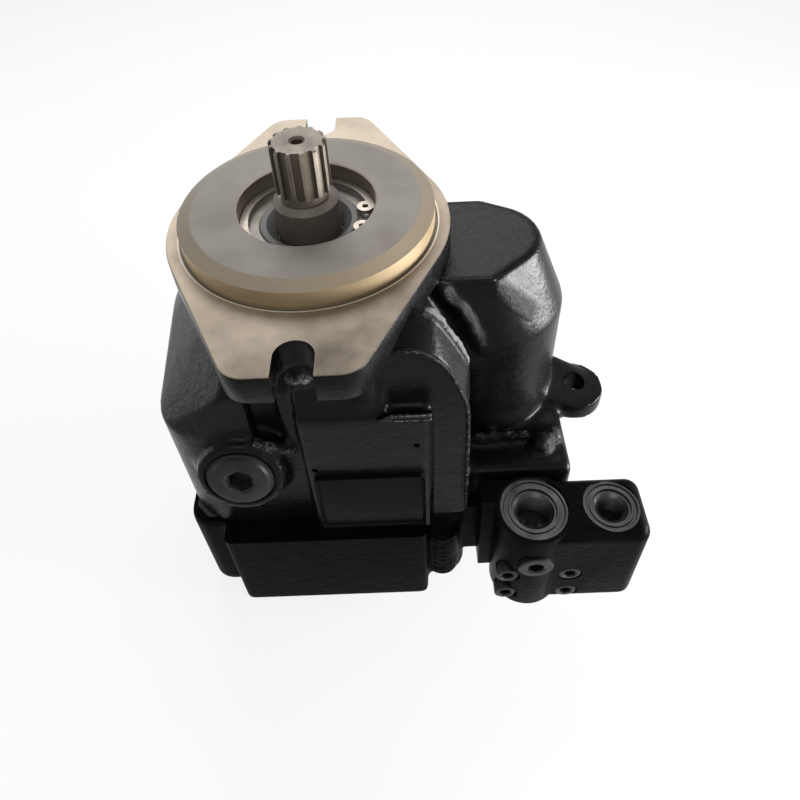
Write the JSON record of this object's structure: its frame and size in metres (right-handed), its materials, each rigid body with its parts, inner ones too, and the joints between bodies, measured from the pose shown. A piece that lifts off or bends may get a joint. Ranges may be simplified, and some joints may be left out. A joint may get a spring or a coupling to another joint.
{
  "type": "axial piston pump",
  "caption": "Swash-plate axial piston pump with a slotted flange and round pilot, splined shaft, black cast housing with a side servo, rear end cap and a bolted control block.",
  "frame": {"origin": "on the rear face of the end cap, on the drive shaft's axis", "axes": "+Z along the drive shaft, out of the flange end; the flange's two mounting slots lie along Y; the servo bulge is on +X and the name-plate pad faces -Y"},
  "size_m": [0.204, 0.1742, 0.227],
  "materials": {
    "black_paint": "semi-gloss black paint over rough cast iron; the flange's face and the pilot are bare machined iron",
    "machined_steel": "turned and ground steel with an oily sheen",
    "steel": "black oxide screw steel",
    "spring_steel": "dark spring wire",
    "bronze": "bearing bronze",
    "rubber": "matt black seal rubber",
    "gasket": "compressed fibre sheet",
    "plate_black": "glossy black plate, left blank"
  },
  "bodies": {
    "housing": {"main_housing": "black_paint", "end_cap": "black_paint", "end_cap_gasket": "gasket", "end_cap_screw_1": "steel", "end_cap_screw_2": "steel", "end_cap_screw_3": "steel", "end_cap_screw_4": "steel", "shaft_seal": "rubber", "seal_retaining_ring": "spring_steel", "front_bearing_outer_ring": "machined_steel", "rear_bearing_outer_ring": "machined_steel", "cradle_bearing_1": "bronze", "cradle_bearing_2": "bronze", "valve_plate": "bronze", "control_block": "black_paint", "control_gasket": "gasket", "control_plug": "black_paint", "control_screw_1": "steel", "control_screw_2": "steel", "control_screw_3": "steel", "control_screw_4": "steel", "pc_adjuster": "steel", "ls_adjuster": "steel", "pc_spring": "spring_steel", "ls_spring": "spring_steel", "bias_spring": "spring_steel", "drain_plug": "black_paint", "name_plate": "plate_black"},
    "rotating_group": {"drive_shaft": "machined_steel", "cylinder_block": "machined_steel", "block_spring": "spring_steel", "ball_guide": "machined_steel", "front_bearing_inner_ring": "machined_steel", "rear_bearing_inner_ring": "machined_steel"},
    "front_rollers": {"front_bearing_rollers": "machined_steel"},
    "rear_rollers": {"rear_bearing_rollers": "machined_steel"},
    "swash": {"swash_plate": "machined_steel"},
    "retainer": {"slipper_retainer": "machined_steel"},
    "piston_1_body": {"piston_1": "machined_steel"},
    "piston_2_body": {"piston_2": "machined_steel"},
    "piston_3_body": {"piston_3": "machined_steel"},
    "piston_4_body": {"piston_4": "machined_steel"},
    "piston_5_body": {"piston_5": "machined_steel"},
    "piston_6_body": {"piston_6": "machined_steel"},
    "piston_7_body": {"piston_7": "machined_steel"},
    "piston_8_body": {"piston_8": "machined_steel"},
    "piston_9_body": {"piston_9": "machined_steel"},
    "slipper_1_body": {"slipper_1": "bronze"},
    "slipper_2_body": {"slipper_2": "bronze"},
    "slipper_3_body": {"slipper_3": "bronze"},
    "slipper_4_body": {"slipper_4": "bronze"},
    "slipper_5_body": {"slipper_5": "bronze"},
    "slipper_6_body": {"slipper_6": "bronze"},
    "slipper_7_body": {"slipper_7": "bronze"},
    "slipper_8_body": {"slipper_8": "bronze"},
    "slipper_9_body": {"slipper_9": "bronze"},
    "servo": {"servo_piston": "machined_steel"},
    "bias": {"bias_piston": "machined_steel"},
    "pc_valve": {"pc_spool": "machined_steel"},
    "ls_valve": {"ls_spool": "machined_steel"}
  },
  "joints": [
    {"name": "shaft_spin", "type": "hinge", "parent": "housing", "child": "rotating_group", "pos_m": [0, 0, 0], "axis": [0, 0, 1], "range_deg": [-360, 360]},
    {"name": "front_bearing_roll", "type": "hinge", "parent": "housing", "child": "front_rollers", "pos_m": [0, 0, 0], "axis": [0, 0, 1], "range_deg": [-160, 160]},
    {"name": "rear_bearing_roll", "type": "hinge", "parent": "housing", "child": "rear_rollers", "pos_m": [0, 0, 0], "axis": [0, 0, 1], "range_deg": [-160, 160]},
    {"name": "swash_tilt", "type": "hinge", "parent": "housing", "child": "swash", "pos_m": [0, 0, 0.12798], "axis": [0, 1, 0], "range_deg": [0, 17]},
    {"name": "retainer_tilt", "type": "hinge", "parent": "rotating_group", "child": "retainer", "pos_m": [0, 0, 0.12798], "axis": [0, 1, 0], "range_deg": [0, 17]},
    {"name": "piston_1_slide", "type": "slide", "parent": "rotating_group", "child": "piston_1_body", "axis": [0, 0, 1], "range_m": [-0.0095, 0.0095]},
    {"name": "piston_2_slide", "type": "slide", "parent": "rotating_group", "child": "piston_2_body", "axis": [0, 0, 1], "range_m": [-0.0095, 0.0095]},
    {"name": "piston_3_slide", "type": "slide", "parent": "rotating_group", "child": "piston_3_body", "axis": [0, 0, 1], "range_m": [-0.0095, 0.0095]},
    {"name": "piston_4_slide", "type": "slide", "parent": "rotating_group", "child": "piston_4_body", "axis": [0, 0, 1], "range_m": [-0.0095, 0.0095]},
    {"name": "piston_5_slide", "type": "slide", "parent": "rotating_group", "child": "piston_5_body", "axis": [0, 0, 1], "range_m": [-0.0095, 0.0095]},
    {"name": "piston_6_slide", "type": "slide", "parent": "rotating_group", "child": "piston_6_body", "axis": [0, 0, 1], "range_m": [-0.0095, 0.0095]},
    {"name": "piston_7_slide", "type": "slide", "parent": "rotating_group", "child": "piston_7_body", "axis": [0, 0, 1], "range_m": [-0.0095, 0.0095]},
    {"name": "piston_8_slide", "type": "slide", "parent": "rotating_group", "child": "piston_8_body", "axis": [0, 0, 1], "range_m": [-0.0095, 0.0095]},
    {"name": "piston_9_slide", "type": "slide", "parent": "rotating_group", "child": "piston_9_body", "axis": [0, 0, 1], "range_m": [-0.0095, 0.0095]},
    {"name": "slipper_1_tilt", "type": "hinge", "parent": "piston_1_body", "child": "slipper_1_body", "pos_m": [0.031, 0, 0.12798], "axis": [0, 1, 0], "range_deg": [0, 17]},
    {"name": "slipper_2_tilt", "type": "hinge", "parent": "piston_2_body", "child": "slipper_2_body", "pos_m": [0.02375, 0.01993, 0.12798], "axis": [0, 1, 0], "range_deg": [0, 17]},
    {"name": "slipper_3_tilt", "type": "hinge", "parent": "piston_3_body", "child": "slipper_3_body", "pos_m": [0.00538, 0.03053, 0.12798], "axis": [0, 1, 0], "range_deg": [0, 17]},
    {"name": "slipper_4_tilt", "type": "hinge", "parent": "piston_4_body", "child": "slipper_4_body", "pos_m": [-0.0155, 0.02685, 0.12798], "axis": [0, 1, 0], "range_deg": [0, 17]},
    {"name": "slipper_5_tilt", "type": "hinge", "parent": "piston_5_body", "child": "slipper_5_body", "pos_m": [-0.02913, 0.0106, 0.12798], "axis": [0, 1, 0], "range_deg": [0, 17]},
    {"name": "slipper_6_tilt", "type": "hinge", "parent": "piston_6_body", "child": "slipper_6_body", "pos_m": [-0.02913, -0.0106, 0.12798], "axis": [0, 1, 0], "range_deg": [0, 17]},
    {"name": "slipper_7_tilt", "type": "hinge", "parent": "piston_7_body", "child": "slipper_7_body", "pos_m": [-0.0155, -0.02685, 0.12798], "axis": [0, 1, 0], "range_deg": [0, 17]},
    {"name": "slipper_8_tilt", "type": "hinge", "parent": "piston_8_body", "child": "slipper_8_body", "pos_m": [0.00538, -0.03053, 0.12798], "axis": [0, 1, 0], "range_deg": [0, 17]},
    {"name": "slipper_9_tilt", "type": "hinge", "parent": "piston_9_body", "child": "slipper_9_body", "pos_m": [0.02375, -0.01993, 0.12798], "axis": [0, 1, 0], "range_deg": [0, 17]},
    {"name": "servo_slide", "type": "slide", "parent": "housing", "child": "servo", "axis": [0, 0, 1], "range_m": [-0.0217, 0]},
    {"name": "bias_slide", "type": "slide", "parent": "housing", "child": "bias", "axis": [0, 0, 1], "range_m": [-0.0217, 0], "deforming": ["bias_spring"]},
    {"name": "pc_spool_slide", "type": "slide", "parent": "housing", "child": "pc_valve", "axis": [0, 0, 1], "range_m": [-0.0025, 0], "stiffness_N_per_m": 2000, "springref_m": 0.002, "deforming": ["pc_spring"]},
    {"name": "ls_spool_slide", "type": "slide", "parent": "housing", "child": "ls_valve", "axis": [0, 0, 1], "range_m": [-0.0025, 0], "stiffness_N_per_m": 2000, "springref_m": 0.002, "deforming": ["ls_spring"]}
  ],
  "couplings": [
    {"joint": "front_bearing_roll", "follows": "shaft_spin", "ratio": 0.43523},
    {"joint": "rear_bearing_roll", "follows": "shaft_spin", "ratio": 0.4256},
    {"joint": "retainer_tilt", "follows": "swash_tilt", "ratio": 1},
    {"joint": "piston_1_slide", "follows": "swash_tilt", "m_per_rad": -0.031943},
    {"joint": "piston_2_slide", "follows": "swash_tilt", "m_per_rad": -0.02447},
    {"joint": "piston_3_slide", "follows": "swash_tilt", "m_per_rad": -0.005547},
    {"joint": "piston_4_slide", "follows": "swash_tilt", "m_per_rad": 0.015971},
    {"joint": "piston_5_slide", "follows": "swash_tilt", "m_per_rad": 0.030017},
    {"joint": "piston_6_slide", "follows": "swash_tilt", "m_per_rad": 0.030017},
    {"joint": "piston_7_slide", "follows": "swash_tilt", "m_per_rad": 0.015971},
    {"joint": "piston_8_slide", "follows": "swash_tilt", "m_per_rad": -0.005547},
    {"joint": "piston_9_slide", "follows": "swash_tilt", "m_per_rad": -0.02447},
    {"joint": "slipper_1_tilt", "follows": "swash_tilt", "ratio": 1},
    {"joint": "slipper_2_tilt", "follows": "swash_tilt", "ratio": 1},
    {"joint": "slipper_3_tilt", "follows": "swash_tilt", "ratio": 1},
    {"joint": "slipper_4_tilt", "follows": "swash_tilt", "ratio": 1},
    {"joint": "slipper_5_tilt", "follows": "swash_tilt", "ratio": 1},
    {"joint": "slipper_6_tilt", "follows": "swash_tilt", "ratio": 1},
    {"joint": "slipper_7_tilt", "follows": "swash_tilt", "ratio": 1},
    {"joint": "slipper_8_tilt", "follows": "swash_tilt", "ratio": 1},
    {"joint": "slipper_9_tilt", "follows": "swash_tilt", "ratio": 1},
    {"joint": "servo_slide", "follows": "swash_tilt", "m_per_rad": -0.072919},
    {"joint": "bias_slide", "follows": "swash_tilt", "m_per_rad": -0.072919}
  ]
}
